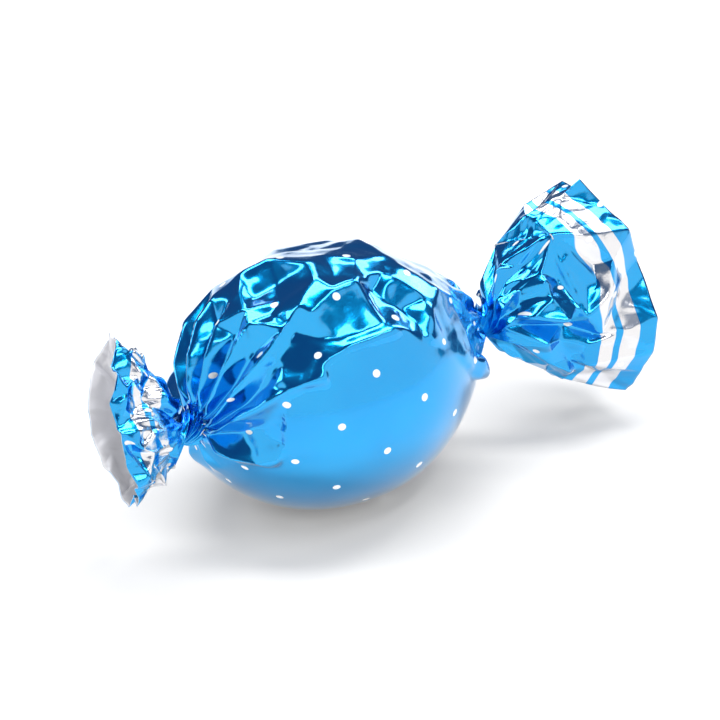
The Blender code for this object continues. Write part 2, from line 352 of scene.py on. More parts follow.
@dataclass(frozen=True)
class Sweet:
    """The round sweet in its film, between the two twists."""

    radius: float = 13.6 * MM
    twist_at: float = 17.9 * MM
    rest_height: float = 12.9 * MM
    neck_radius: float = 1.75 * MM
    fullness: Pair = (2.25, 2.0)
    rounding: Pair = (0.70, 0.92)
    samples: int = 1201  # of the profile
    rings: int = 206
    columns: int = 400
    neck_reach: float = 3.0 * MM  # from the twist, over which the sweet's curve takes over from the neck
    neck_pleat: float = 0.5 * MM
    pleat: dict[End, float] = field(default_factory=lambda: {End.LEFT: 1.5 * MM, End.RIGHT: 1.1 * MM})
    pleat_rise: float = 5.0 * MM  # from the twist, over which the pleats grow to their whole height
    pleat_fade: float = 1.5
    pleat_stations: tuple[float, ...] = (0.0, 0.8, 2.0, 3.8, 6.2, 9.2, 12.8)  # mm from the twist
    last_station: float = 0.8  # of a pleat's reach
    wander: Pair = (0.3, 0.25)  # mm along and round, of each place on a pleat
    facet_step: float = 5.2 * MM
    facet_height: float = 0.95 * MM
    facet_seed: int = 3
    facets_from: Pair = (6.0 * MM, 5.0 * MM)  # from the left and the right twist
    least_loose: float = 0.06  # of the facets' height, left on the tight side
    calm_deg: Pair = (66.0, 30.0)  # an angle round which the film is flatter, and how far
    calm_share: float = 0.65
    crumple: tuple[tuple[int, float, float], ...] = ((14, 2.6, 0.22), (25, 1.3, 0.05))  # seed, step, height
    crumple_from: Pair = (0.5 * MM, 6.0 * MM)  # from the twist
    tight_from: Pair = (2.0 * MM, 7.0 * MM)  # from the twist, where the tight side is smooth
    crease_blend_deg: float = 1.6
    back_line_deg: float = 318.0
    back_blend_deg: float = 20.0
    lap_height: float = 0.38 * MM
    lap_width_deg: float = 1.4
    lap_fade_deg: float = 24.0
    lap_rise: Pair = (-9.0 * MM, -2.0 * MM)  # along the film

    @property
    def girth(self) -> float:
        """Of the film, round the sweet."""
        return 2 * math.pi * self.radius

    def profile(self) -> tuple[Array, Array, Array]:
        """The sweet's side view.

        Returns:
            Distances along the film from the middle, rising from the left twist, and x and radius at each.
        """
        x = self.twist_at * np.sin(np.linspace(-math.pi / 2, math.pi / 2, self.samples))
        fullness, rounding = np.where(x < 0.0, *self.fullness), np.where(x < 0.0, *self.rounding)
        inside = np.clip(1.0 - (np.abs(x) / self.twist_at) ** fullness, 0.0, 1.0)
        radius = self.neck_radius + (self.radius - self.neck_radius) * inside**rounding
        along = np.concatenate([[0.0], np.cumsum(np.hypot(np.diff(x), np.diff(radius)))])
        return along - along[self.samples // 2], x, radius

    def film(self, end: End) -> float:
        """Length of film from the middle to one twist."""
        return float(abs(self.profile()[0][0 if end is End.LEFT else -1]))

    def to_twist(self, along: Array) -> Array:
        """Distances along the film to the nearer twist."""
        return np.where(along < 0.0, along + self.film(End.LEFT), self.film(End.RIGHT) - along)

    def place(self, along: Array, around: Array, height: Array) -> Array:
        """Points of the film.

        Args:
            along: Distances along the film from the middle.
            around: Distances round it.
            height: How far it stands off the smooth sweet: outwards near a twist, square to it elsewhere.

        Returns:
            The points.
        """
        at, x, radius = self.profile()
        ahead, rise = np.gradient(x, at), np.gradient(radius, at)
        lean = smooth_step(0.0, self.neck_reach, self.to_twist(along))
        out_x = -np.interp(along, at, rise) * lean
        out_r = np.interp(along, at, ahead) * lean + 1.0 - lean
        size = np.hypot(out_x, out_r)
        angle = around / self.radius
        r = np.interp(along, at, radius) + height * out_r / size
        place_x = np.broadcast_to(np.interp(along, at, x) + height * out_x / size, r.shape)
        return np.stack([place_x, r * np.cos(angle), self.rest_height + r * np.sin(angle)], -1)

    def past_line(self, along: Array, around: Array) -> Array:
        """Degrees from the crease line, above 0 on the tight side in front."""
        at, degrees = np.transpose(CREASE_LINE)
        return np.degrees(around / self.radius) % 360.0 - np.interp(along, at * MM, degrees)

    def loose(self, along: Array, around: Array) -> Array:
        """Where the film is loose and crumpled.

        Args:
            along: Distances along the film from the middle.
            around: Distances round it.

        Returns:
            1 on the loose side, 0 on the tight smooth side.
        """
        front = smooth_step(self.crease_blend_deg, -self.crease_blend_deg, self.past_line(along, around))
        degrees = np.degrees(around / self.radius) % 360.0
        low, high = self.back_line_deg - self.back_blend_deg, self.back_line_deg + self.back_blend_deg
        return np.clip(front + smooth_step(low, high, degrees), 0.0, 1.0)

    def pleat_height(self, end: End, to_twist: Array) -> Array:
        """Of the highest pleats, at distances from the twist."""
        more = self.pleat[end] - self.neck_pleat
        return self.neck_pleat + more * smooth_step(0.0, self.pleat_rise, to_twist)

    def pleat_spots(self, end: End, pleats: Pleats) -> tuple[list, list, list]:
        """Places along the pleats of one twist.

        Args:
            end: Which twist.
            pleats: Its pleats.

        Returns:
            The places, their heights, and pairs of them that follow each other on one crease.
        """
        wander_seed = pleats.seed + 50
        random = np.random.default_rng(wander_seed)
        spots, heights, creases = [], [], []
        for angle, share, reach, drift in zip(*pleats.lines()):
            if pleats.set_apart[0] < math.degrees(angle) < pleats.set_apart[1]:
                continue
            stations = [t * MM for t in self.pleat_stations if t * MM < self.last_station * reach] + [reach]
            for k, t in enumerate(stations):
                away = t + random.uniform(-self.wander[0], self.wander[0]) * MM * min(k, 1)
                along = end.value * (self.film(end) - away)
                aside = random.uniform(-self.wander[1], self.wander[1]) * MM * min(k, 1)
                around = (angle + drift * away) * self.radius + aside
                fade = 1.0 - (t / reach) ** self.pleat_fade
                height = share * fade * float(self.pleat_height(end, np.array(t)))
                if k:
                    creases.append((len(spots) - 1, len(spots)))
                spots.append((along, around % self.girth))
                heights.append(height)
        return spots, heights, creases

    def set_spots(self) -> tuple[list, list, list]:
        """The folds that have places of their own.

        Returns:
            Places, their heights, and pairs of them that follow each other on one crease.
        """
        spots, heights, creases = [], [], []
        for fold in FOLDS:
            creases += [(len(spots) + k - 1, len(spots) + k) for k in range(1, len(fold))]
            spots += [(along * MM, math.radians(degrees) * self.radius) for along, degrees, _ in fold]
            heights += [height * MM for _, _, height in fold]
        return spots, heights, creases

    def folded(self, left: Pleats, right: Pleats, along: Array, around: Array) -> Array:
        """The film as flat facets between its pleats and folds.

        Args:
            left: Pleats of the left twist.
            right: Pleats of the right one.
            along: Distances along the film from the middle, rising.
            around: Distances round it, rising.

        Returns:
            Points over the grid.
        """
        spots, heights, creases = [], [], []
        groups = [self.pleat_spots(End.LEFT, left), self.pleat_spots(End.RIGHT, right), self.set_spots()]
        for some, lifts, pairs in groups:
            creases += [(a + len(spots), b + len(spots)) for a, b in pairs]
            spots, heights = spots + some, heights + lifts
        spots, heights = np.array(spots), np.array(heights)
        reach = (self.facets_from[0] - self.film(End.LEFT), self.film(End.RIGHT) - self.facets_from[1])
        free = lattice(self.facet_seed, reach, self.facet_step, self.girth)
        free[:, 1] %= self.girth
        lifted = np.random.default_rng(self.facet_seed + 1).uniform(-1.0, 1.0, len(free)) * self.facet_height
        away = np.linalg.norm(free[:, None] - spots[None], axis=2).min(1)
        clear = away > CLEARANCE * self.facet_step
        free, lifted = free[clear], lifted[clear]
        lifted *= np.clip(self.loose(*free.T), self.least_loose, 1.0)
        from_calm = np.abs(np.degrees(free[:, 1] / self.radius) - self.calm_deg[0])
        lifted *= 1.0 - self.calm_share * smooth_step(self.calm_deg[1], 0.0, from_calm)
        spots, heights = np.concatenate([spots, free]), np.concatenate([heights, lifted])
        net = CreaseNet(spots, self.girth, tuple(creases))
        return net.spread(self.place(spots[:, 0], spots[:, 1], heights), along, around)

    def lap(self, along: Array, around: Array) -> Array:
        """Heights of the film's outer edge, which laps over the tight side along the crease line.

        Args:
            along: Distances along the film from the middle.
            around: Distances round it.

        Returns:
            The heights.
        """
        past = self.past_line(along, around)
        over = smooth_step(self.lap_width_deg, -self.lap_width_deg, past)
        fade = smooth_step(-self.lap_fade_deg, 0.0, past)
        return self.lap_height * over * fade * smooth_step(*self.lap_rise, along)

    def patch(self, left: Pleats, right: Pleats) -> FilmPatch:
        """The film over the whole sweet, from the left twist to the right.

        Args:
            left: Pleats of the left twist.
            right: Pleats of the right one.

        Returns:
            The film.
        """
        along = np.linspace(-self.film(End.LEFT), self.film(End.RIGHT), self.rings)
        around = np.linspace(0.0, self.girth, self.columns + 1)
        rows = along[:, None] + 0.0 * around
        columns = around + 0.0 * rows
        away = self.to_twist(rows)
        loose = self.loose(rows, columns)
        star = np.where(rows < 0.0, left.star(around / self.radius), right.star(around / self.radius))
        at_neck = 1.0 - smooth_step(0.0, self.neck_reach, away)
        smooth = self.place(rows, columns, star * self.neck_pleat * at_neck)
        folded = self.folded(left, right, along, around)
        share = np.clip(loose + 1.0 - smooth_step(*self.tight_from, away), 0.0, 1.0)
        share *= smooth_step(*NET_FROM, away)
        points = smooth + (folded - smooth) * share[..., None]
        fine = np.zeros(rows.shape)
        for seed, step, height in self.crumple:
            fine += fine_creases(seed, step * MM, height * MM, self.girth, along, around)
        relief = fine * loose * smooth_step(*self.crumple_from, away) + self.lap(rows, columns)
        points = soften(points + normals(points) * relief[..., None], SOFT_PASSES)
        points[..., 2] = np.maximum(points[..., 2], 0.0)
        points[:, -1] = points[:, 0]
        return FilmPatch(points, along, around, np.full(len(along), 1.0), np.zeros(len(along)))


@dataclass(frozen=True)
class Tail:
    """One end of the film beyond its twist: the twisted neck and the flattened, pleated cup."""

    end: End
    sweet: Sweet
    pleats: Pleats
    length: float
    wide_flare: Pair
    thin_flare: Pair
    flat_deg: float
    lead: float
    lead_deg: float
    ruffle: float
    squash: float
    turn_deg: float
    rise_deg: float
    swing_deg: float
    seed: int
    facet_step: float
    facet_height: float
    crumple: tuple[Pair, ...]  # step and height of each kind of small crease, in mm
    pleat_share: float  # of the pleats' height that is left between the twist and the cut edge
    folds: tuple[tuple[tuple[float, float, float], ...], ...]  # mm from the twist, degrees, mm of height
    neck_length: float = 2.0 * MM
    film: float = 0.09 * MM  # thickness
    least: float = 1.14 * MM  # radius, wherever a valley runs
    cup_floor: float = 2.6 * MM  # beyond the neck, where the lining starts
    spacing: float = 0.2 * MM  # of the rings
    axis_steps: int = 24
    pleat_stations: tuple[float, ...] = (0.0, 1.0, 2.0, 3.2, 5.0)  # mm from the twist
    twist_span: Pair = (-0.5, 2.0)  # of the neck's length, over which the film turns
    bend_span: Pair = (-0.5, 1.5)  # of the neck's length, over which the axis bends
    ruffle_rise: float = 6.0 * MM  # beyond the neck, over which the pleats grow to the ruffle
    share_from: Pair = (2.0 * MM, 6.0 * MM)  # beyond the neck, where pleat_share sets in
    dip: float = 0.35  # of a ridge's height, by which it reaches less far than a valley
    dip_rise: float = 9.0 * MM  # beyond the neck
    rim_step: float = 0.8  # of the facet step, between places on the cut edge
    rim_jitter: float = 0.3
    facets_from: float = 6.0 * MM
    facet_gaps: Pair = (0.6, 0.45)  # of the facet step, after the pleats and before the cut edge
    facet_rise: Pair = (3.0 * MM, 8.0 * MM)  # where the facets grow to their height
    crumple_from: Pair = (2.0 * MM, 7.0 * MM)
    crumple_seeds: int = 7  # between the seeds of two kinds of small crease

    def flare(self, half_angles: Pair, beyond: Array) -> tuple[Array, Array]:
        """Radius and reach of the cup.

        Args:
            half_angles: Of the cup one way, at the twist and at the cut edge, in degrees.
            beyond: Distances along the film from the neck.

        Returns:
            The radius and the reach at each.
        """
        at_twist, at_edge = np.radians(half_angles)
        bend = at_edge - at_twist
        angle = at_twist + bend * np.clip(beyond / self.length, 0.0, 1.0)
        radius = (math.cos(at_twist) - np.cos(angle)) * self.length / bend
        reach = (np.sin(angle) - math.sin(at_twist)) * self.length / bend
        return self.sweet.neck_radius + radius, reach

    def direction(self, share: Array) -> Array:
        """Ways along the axis.

        Args:
            share: Of its whole rise and swing.

        Returns:
            Unit vectors.
        """
        rise, swing = math.radians(self.rise_deg) * share, math.radians(self.swing_deg) * share
        flat = np.cos(rise)
        return np.stack([self.end.value * flat * np.cos(swing), flat * np.sin(swing), np.sin(rise)], -1)

    def bend_share(self, reach: Array) -> Array:
        """Shares of the rise and swing at distances beyond the twist."""
        return smooth_step(*(share * self.neck_length for share in self.bend_span), reach)

    def axis(self, reach: Array) -> tuple[Array, Array, Array]:
        """Points of the bent axis, and the ways across and up there.

        Args:
            reach: Distances beyond the twist.

        Returns:
            Points, and unit vectors across and upwards.
        """
        point = np.array([self.end.value * self.sweet.twist_at, 0.0, self.sweet.rest_height])
        for k in range(self.axis_steps):
            middle = (k + 0.5) / self.axis_steps * reach
            point = point + self.direction(self.bend_share(middle)) * (reach / self.axis_steps)[..., None]
        ahead = self.direction(self.bend_share(reach))
        across = np.stack([-ahead[..., 1], ahead[..., 0], np.zeros(ahead.shape[:-1])], -1) * self.end.value
        across /= np.linalg.norm(across, axis=-1, keepdims=True)
        return point, across, np.cross(ahead, across) * self.end.value

    def place(self, along: Array, around: Array, height: Array) -> Array:
        """Points of the film's outer face.

        Args:
            along: Distances along the film from the twist.
            around: Distances round it.
            height: How far the film stands off its pleated cup.

        Returns:
            The points.
        """
        angles = around / self.sweet.radius
        beyond = np.clip(along - self.neck_length, 0.0, None)
        twisted = smooth_step(*(share * self.neck_length for share in self.twist_span), along)
        turned = angles + math.radians(self.turn_deg) * twisted
        phase = turned - math.radians(self.flat_deg)
        wide, wide_reach = self.flare(self.wide_flare, beyond)
        thin, thin_reach = self.flare(self.thin_flare, beyond)
        neck = self.sweet.neck_pleat
        ruffle = neck + (self.ruffle - neck) * smooth_step(0.0, self.ruffle_rise, beyond)
        star = self.pleats.star(angles)
        star = star * (1.0 - (1.0 - self.pleat_share) * smooth_step(*self.share_from, beyond))
        bulge = star * ruffle + height
        wide_at = np.maximum(wide + bulge, self.least)
        thin_at = np.maximum(thin + self.squash * bulge, self.least)
        share = np.cos(phase) ** 2
        reach = wide_reach * share + thin_reach * (1.0 - share)
        reach = reach - self.dip * star * ruffle * smooth_step(0.0, self.dip_rise, beyond)
        reach = reach * (1.0 + self.lead * np.cos(turned - math.radians(self.lead_deg)))
        point, across, upward = self.axis(np.minimum(along, self.neck_length) + reach)
        lean = math.radians(self.flat_deg)
        widest = math.cos(lean) * across + math.sin(lean) * upward
        thinnest = math.cos(lean) * upward - math.sin(lean) * across
        points = point + widest * (wide_at * np.cos(phase))[..., None]
        return points + thinnest * (thin_at * np.sin(phase))[..., None]

    def net(self) -> tuple[CreaseNet, Array]:
        """The tail's pleats, folds and free facets.

        Returns:
            Their net, and how far the film stands off its pleated cup at each place of it.
        """
        random = np.random.default_rng(self.seed)
        whole, girth = self.neck_length + self.length, self.sweet.girth
        spots, creases = [], []
        for angle in self.pleats.lines()[0]:
            for k, station in enumerate(self.pleat_stations):
                if k:
                    creases.append((len(spots) - 1, len(spots)))
                spots.append((station * MM, angle * self.sweet.radius % girth))
        height = list(np.zeros(len(spots)))
        for fold in self.folds:
            creases += [(len(spots) + k - 1, len(spots) + k) for k in range(1, len(fold))]
            spots += [(t * MM, math.radians(d) * self.sweet.radius % girth) for t, d, _ in fold]
            height += [h * MM for _, _, h in fold]
        rim = round(girth / (self.rim_step * self.facet_step))
        edge = (np.arange(rim) + random.uniform(-self.rim_jitter, self.rim_jitter, rim)) * girth / rim
        after, before = (gap * self.facet_step for gap in self.facet_gaps)
        free = lattice(self.seed, (self.pleat_stations[-1] * MM + after, whole), self.facet_step, girth)
        free = free[(free[:, 0] < whole - before) & (free[:, 0] > self.facets_from)]
        free = np.concatenate([np.stack([np.full(rim, whole), edge], 1), free]) % (np.inf, girth)
        lifted = random.uniform(-1.0, 1.0, len(free)) * self.facet_height
        lifted *= smooth_step(*self.facet_rise, free[:, 0])
        gaps = [np.linalg.norm(free[:, None] - spots + (0.0, k * girth), axis=2).min(1) for k in (-1, 0, 1)]
        clear = np.min(gaps, axis=0) > CLEARANCE * self.facet_step
        spots, height = np.concatenate([spots, free[clear]]), np.concatenate([height, lifted[clear]])
        return CreaseNet(spots, girth, tuple(creases)), height

    def face(self, along: Array, around: Array) -> Array:
        """Points of the outer face.

        Args:
            along: Distances along the film from the twist, rising.
            around: Distances round it, rising.

        Returns:
            Points over the grid.
        """
        net, height = self.net()
        folded = net.spread(self.place(net.spots[:, 0], net.spots[:, 1], height), along, around)
        rows = along[:, None] + 0.0 * around
        plain = self.place(rows, around + 0.0 * rows, 0.0 * rows)
        points = plain + (folded - plain) * smooth_step(*NET_FROM, rows)[..., None]
        relief = np.zeros(rows.shape)
        for k, (step, height) in enumerate(self.crumple):
            seed = self.seed + self.crumple_seeds * k
            relief += fine_creases(seed, step * MM, height * MM, self.sweet.girth, along, around)
        relief *= smooth_step(*self.crumple_from, rows) * self.end.value
        points = soften(points + normals(points) * relief[..., None], SOFT_PASSES)
        points[:, -1] = points[:, 0]
        return points

    def patch(self) -> FilmPatch:
        """The tail's film.

        Returns:
            The film, from the floor of the cup, over the cut edge, to the twist.
        """
        whole = self.neck_length + self.length
        around = np.linspace(0.0, self.sweet.girth, self.sweet.columns + 1)
        outer = np.linspace(0.0, whole, round(whole / self.spacing) + 1)
        inner = outer[outer > self.neck_length + self.cup_floor]
        outside = self.face(outer, around)
        inside = outside - normals(outside) * self.film * self.end.value
        points = [inside[-len(inner) :], outside[::-1]]
        along = np.concatenate([inner, outer[::-1]])
        lining = np.concatenate([np.ones(len(inner)), np.zeros(len(outer))])
        printed = self.end.value * (self.sweet.film(self.end) + along)
        return FilmPatch(np.concatenate(points), printed, around, whole - along, lining)


class Value:
    """A shader value, so that maths on it is written as an expression."""

    def __init__(self, nodes: Nodes, socket: Any) -> None:
        """Wrap a socket of a node tree."""
        self.nodes = nodes
        self.socket = socket

    def maths(self, operation: str, *others: Any, first: Any = None) -> Value:
        """A Math node.

        Args:
            operation: What it does.
            others: Values that follow this one.
            first: A value that comes before this one in their place.

        Returns:
            Its value.
        """
        inputs = [self, *others] if first is None else [first, self]
        node = self.nodes.add("ShaderNodeMath", {"operation": operation}, inputs)
        return Value(self.nodes, node.outputs[0])

    def __add__(self, other: Any) -> Value:
        """The sum."""
        return self.maths("ADD", other)

    __radd__ = __add__

    def __sub__(self, other: Any) -> Value:
        """The difference."""
        return self.maths("SUBTRACT", other)

    def __rsub__(self, other: Any) -> Value:
        """The difference, the other way round."""
        return self.maths("SUBTRACT", first=other)

    def __mul__(self, other: Any) -> Value:
        """The product."""
        return self.maths("MULTIPLY", other)

    __rmul__ = __mul__

    def __truediv__(self, other: Any) -> Value:
        """The quotient."""
        return self.maths("DIVIDE", other)

    def between(self, low: float, high: float) -> Value:
        """A smooth ramp.

        Args:
            low: Where it starts, at 0.
            high: Where it ends, at 1.

        Returns:
            The ramp's value.
        """
        inputs = {"Value": self, "From Min": low, "From Max": high}
        ramp = self.nodes.add("ShaderNodeMapRange", {"interpolation_type": "SMOOTHSTEP"}, inputs)
        return Value(self.nodes, ramp.outputs[0])


class Nodes:
    """Adds nodes to a material's tree."""

    def __init__(self, tree: bpy.types.NodeTree) -> None:
        """Start with an empty tree."""
        self.tree = tree
        tree.nodes.clear()

    def add(self, kind: str, settings: dict[str, Any] | None = None, inputs: Any = None) -> bpy.types.Node:
        """A node.

        Args:
            kind: The node's type.
            settings: Its own settings, set first.
            inputs: Values or links of its sockets, by name or in order.

        Returns:
            The node.
        """
        node = self.tree.nodes.new(kind)
        for name, value in (settings or {}).items():
            setattr(node, name, value)
        pairs = inputs.items() if isinstance(inputs, dict) else enumerate(inputs or [])
        for key, value in pairs:
            source = value.socket if isinstance(value, Value) else value
            if isinstance(source, bpy.types.NodeSocket):
                self.tree.links.new(source, node.inputs[key])
            elif source is not None:
                node.inputs[key].default_value = source
        return node

    def attribute(self, name: str) -> Value:
        """A value that is stored on the mesh."""
        return Value(self, self.add("ShaderNodeAttribute", {"attribute_name": name}).outputs["Fac"])

    def noise(self, place: bpy.types.NodeSocket, scale: float, detail: float) -> Value:
        """A noise over the flat film."""
        inputs = {"Vector": place, "Scale": scale, "Detail": detail}
        return Value(self, self.add("ShaderNodeTexNoise", {}, inputs).outputs[0])

    def mix(self, share: Any, first: Any, second: Any) -> bpy.types.NodeSocket:
        """Colours mixed by a share."""
        node = self.add("ShaderNodeMix", {"data_type": "RGBA"}, {0: share, 6: first, 7: second})
        return node.outputs[2]


@dataclass(frozen=True)
class FilmFinish:
    """Metallised film with a clear blue print, white dots and plain silver stripes near the cut edges."""

    blue: Colour = (0.002, 0.35, 0.76, 1.0)
    deep_blue: Colour = (0.001, 0.31, 0.72, 1.0)
    silver: Colour = (0.74, 0.74, 0.77, 1.0)
    white: Colour = (0.93, 0.95, 0.97, 1.0)
    roughness: float = 0.15
    dot_radius: float = 0.41 * MM
    dot_origin: Pair = (-3.7 * MM, 36.3 * MM)  # along and round the film
    dot_step: Pair = (5.07 * MM, 4.10 * MM)
    dot_turn: Pair = (-4.67 * MM, 4.70 * MM)
    dot_blur: float = 0.05 * MM
    stripes: tuple[Pair, ...] = ((2.0 * MM, 3.8 * MM), (4.5 * MM, 5.9 * MM))  # from the cut edge
    stripe_blur: float = 0.04 * MM
    cloud_scale: float = 9.0
    cloud_edges: Pair = (0.35, 0.75)
    grain_scale: float = 60.0
    fine_scale: float = 240.0
    grain_mix: Pair = (0.7, 0.3)
    grain_roughness: float = 0.06
    dot_roughness: float = 0.25
    lining_roughness: float = 0.2
    lining_matt: float = 0.9
    bump_strength: float = 0.35
    bump_depth: float = 0.05 * MM
    coat: float = 0.95
    coat_roughness: float = 0.05

    def dots(self, around: Value, along: Value) -> Value:
        """Dots on a slanted lattice of the flat film.

        Args:
            around: Distance round the film.
            along: Distance along it.

        Returns:
            Share of white print.
        """
        (ax, ay), (bx, by) = self.dot_step, self.dot_turn
        area = ax * by - ay * bx
        u, v = along - self.dot_origin[0], around - self.dot_origin[1]
        i, j = u * (by / area) - v * (bx / area), v * (ax / area) - u * (ay / area)
        i, j = i - i.maths("ROUND"), j - j.maths("ROUND")
        du, dv = i * ax + j * bx, i * ay + j * by
        distance = (du * du + dv * dv).maths("SQRT")
        return 1.0 - distance.between(self.dot_radius - self.dot_blur, self.dot_radius + self.dot_blur)

    def bands(self, edge: Value) -> Value:
        """Plain stripes along the cut edge.

        Args:
            edge: Distance from the cut edge.

        Returns:
            Share of bare silver.
        """
        total: Any = 0.0
        blur = self.stripe_blur
        for low, high in self.stripes:
            total = (edge.between(low - blur, low + blur) - edge.between(high - blur, high + blur)) + total
        return total

    def material(self) -> bpy.types.Material:
        """The film's material.

        Returns:
            The material, which reads the print's UV map and the film's own attributes.
        """
        material = bpy.data.materials.new("blue_metallised_film")
        material.use_nodes = True
        nodes = Nodes(material.node_tree)
        flat = nodes.add("ShaderNodeUVMap", {"uv_map": "print"}).outputs[0]
        apart = nodes.add("ShaderNodeSeparateXYZ", {}, [flat])
        around = Value(nodes, apart.outputs[0]) * PRINT_SCALE
        along = (Value(nodes, apart.outputs[1]) - 0.5) * PRINT_SCALE
        lining = nodes.attribute("lining")
        edge = nodes.attribute("from_edge")
        dots = self.dots(around, along) * (1.0 - lining)
        cloud = nodes.noise(flat, self.cloud_scale, 2.0)
        blue = nodes.mix(cloud.between(*self.cloud_edges), self.blue, self.deep_blue)
        printed = nodes.mix(self.bands(edge), blue, self.silver)
        faces = nodes.mix(lining, printed, self.silver)
        colour = nodes.mix(dots, faces, self.white)
        grain = nodes.noise(flat, self.grain_scale, 4.0)
        height = grain * self.grain_mix[0] + nodes.noise(flat, self.fine_scale, 3.0) * self.grain_mix[1]
        relief = {"Strength": self.bump_strength, "Distance": self.bump_depth, "Height": height}
        bump = nodes.add("ShaderNodeBump", {}, relief)
        roughness = self.roughness + grain * self.grain_roughness
        roughness = roughness + dots * self.dot_roughness + lining * self.lining_roughness
        metal = (1.0 - dots) * (1.0 - lining * self.lining_matt)
        inputs = {"Base Color": colour, "Metallic": metal, "Roughness": roughness, "Normal": bump.outputs[0]}
        inputs |= {"Coat Weight": self.coat, "Coat Roughness": self.coat_roughness}
        shader = nodes.add("ShaderNodeBsdfPrincipled", {}, inputs)
        nodes.add("ShaderNodeOutputMaterial", {}, [shader.outputs[0]])
        return material


def link(name: str, data: bpy.types.ID) -> bpy.types.Object:
    """Make an object and add it to the scene.

    Args:
        name: The object's name.
        data: Its mesh, light or camera.

    Returns:
        The new object.
    """
    made = bpy.data.objects.new(name, data)
    bpy.context.scene.collection.objects.link(made)
    return made


def stage(name: str, mesh: bmesh.types.BMesh, finish: str, kind: str, inputs: dict[str, Any]) -> None:
    """Add a plain piece of the studio, which isn't part of the candy.

    Args:
        name: The piece's name.
        mesh: Its mesh, which is used up.
        finish: Its material's name.
        kind: Type of its shader node.
        inputs: Values of that node's sockets.
    """
    data = bpy.data.meshes.new(name)
    mesh.to_mesh(data)
    mesh.free()
    material = bpy.data.materials.new(finish)
    material.use_nodes = True
    nodes = Nodes(material.node_tree)
    nodes.add("ShaderNodeOutputMaterial", {}, [nodes.add(kind, {}, inputs).outputs[0]])
    data.materials.append(material)
    link(name, data)


@dataclass(frozen=True)
class Panel:
    """A soft light: a flat square or oblong panel that faces a point over the candy."""

    name: str
    azimuth: float  # degrees, 0 in front, as the camera's
    elevation: float
    distance: float
    width: float
    height: float
    radiance: float
    tint: tuple[float, float, float] = (1.0, 0.98, 0.95)

    def place(self) -> None:
        """Add the light to the scene."""
        light = bpy.data.lights.new(self.name, "AREA")
        light.shape = "RECTANGLE"
        light.size, light.size_y = self.width, self.height
        light.energy = self.radiance * self.width * self.height * math.pi
        light.color = self.tint
        lamp = link(self.name, light)
        lamp.location = from_angles(self.azimuth, self.elevation) * self.distance
        lamp.rotation_euler = (lamp.location - LIT_POINT).to_track_quat("Z", "Y").to_euler()


def from_angles(azimuth: float, elevation: float) -> Vector:
    """Unit vector from the candy towards a place seen at an azimuth and an elevation, in degrees."""
    turn, lift = math.radians(azimuth), math.radians(elevation)
    return Vector((math.sin(turn) * math.cos(lift), -math.cos(turn) * math.cos(lift), math.sin(lift)))


@dataclass(frozen=True)
class Tent:
    """A pale glowing cloth, curved round the front of the candy."""

    azimuths: Pair = (-124.0, 67.0)
    elevations: Pair = (-1.0, 48.0)
    radius: float = 1.4
    radiance: float = 1.26
    tint: Colour = (1.0, 0.985, 0.96, 1.0)
    columns: int = 50
    rows: int = 12

    def build(self) -> None:
        """Add the cloth to the scene."""
        mesh = bmesh.new()
        bmesh.ops.create_grid(mesh, x_segments=self.columns, y_segments=self.rows, size=0.5)
        for vertex in mesh.verts:
            azimuth = self.azimuths[0] + (vertex.co.x + 0.5) * (self.azimuths[1] - self.azimuths[0])
            elevation = self.elevations[0] + (vertex.co.y + 0.5) * (self.elevations[1] - self.elevations[0])
            vertex.co = from_angles(azimuth, elevation) * self.radius
        glow = {"Color": self.tint, "Strength": self.radiance}
        stage("tent", mesh, "glowing_cloth", "ShaderNodeEmission", glow)


@dataclass(frozen=True)
class Studio:
    """A pale floor, soft panels and the camera."""

    azimuth: float = -38.0
    elevation: float = 28.0
    distance: float = 0.60
    lens: float = 292.0
    aim: tuple[float, float, float] = (0.0, 0.0, 13.0 * MM)
    floor_size: float = 3.0
    floor_tone: Colour = (0.88, 0.88, 0.875, 1.0)
    floor_roughness: float = 0.6
    floor_glow: float = 0.18
    world_tone: Colour = (0.06, 0.12, 0.23, 1.0)
    tent: Tent = Tent()
    panels: tuple[Panel, ...] = (
        Panel("top_strip", 142.0, 76.0, 1.0, 1.0, 0.24, 8.0),
        Panel("back_strip", 150.0, 52.0, 1.1, 0.7, 0.16, 6.0),
        Panel("left_strip", -142.0, 32.0, 1.2, 0.22, 0.7, 5.0),
        Panel("right_strip", 100.0, 34.0, 1.2, 0.22, 0.7, 6.0),
        Panel("front_strip", 20.0, 62.0, 1.2, 0.8, 0.12, 6.0),
    )

    def build(self) -> None:
        """Add everything to the scene."""
        self.floor()
        self.camera()
        self.world()
        self.tent.build()
        for panel in self.panels:
            panel.place()
        bpy.context.scene.view_settings.view_transform = "Standard"
        bpy.context.scene.cycles.caustics_reflective = False

    def floor(self) -> None:
        """The plain pale floor."""
        mesh = bmesh.new()
        bmesh.ops.create_grid(mesh, x_segments=1, y_segments=1, size=self.floor_size)
        inputs = {
            "Base Color": self.floor_tone,
            "Roughness": self.floor_roughness,
            "Emission Strength": self.floor_glow,
        }
        stage("floor", mesh, "pale_floor", "ShaderNodeBsdfPrincipled", inputs)

    def camera(self) -> None:
        """The camera, at the photograph's viewing angle."""
        data = bpy.data.cameras.new("camera")
        data.lens = self.lens
        data.clip_start = 0.01
        camera = link("camera", data)
        camera.location = Vector(self.aim) + from_angles(self.azimuth, self.elevation) * self.distance
        camera.rotation_euler = (camera.location - Vector(self.aim)).to_track_quat("Z", "Y").to_euler()
        bpy.context.scene.camera = camera

    def world(self) -> None:
        """A dim bluish room round the panels."""
        world = bpy.data.worlds.new("room")
        world.use_nodes = True
        nodes = Nodes(world.node_tree)
        glow = nodes.add("ShaderNodeBackground", {}, {"Color": self.world_tone, "Strength": 1.0})
        nodes.add("ShaderNodeOutputWorld", {}, [glow.outputs[0]])
        bpy.context.scene.world = world


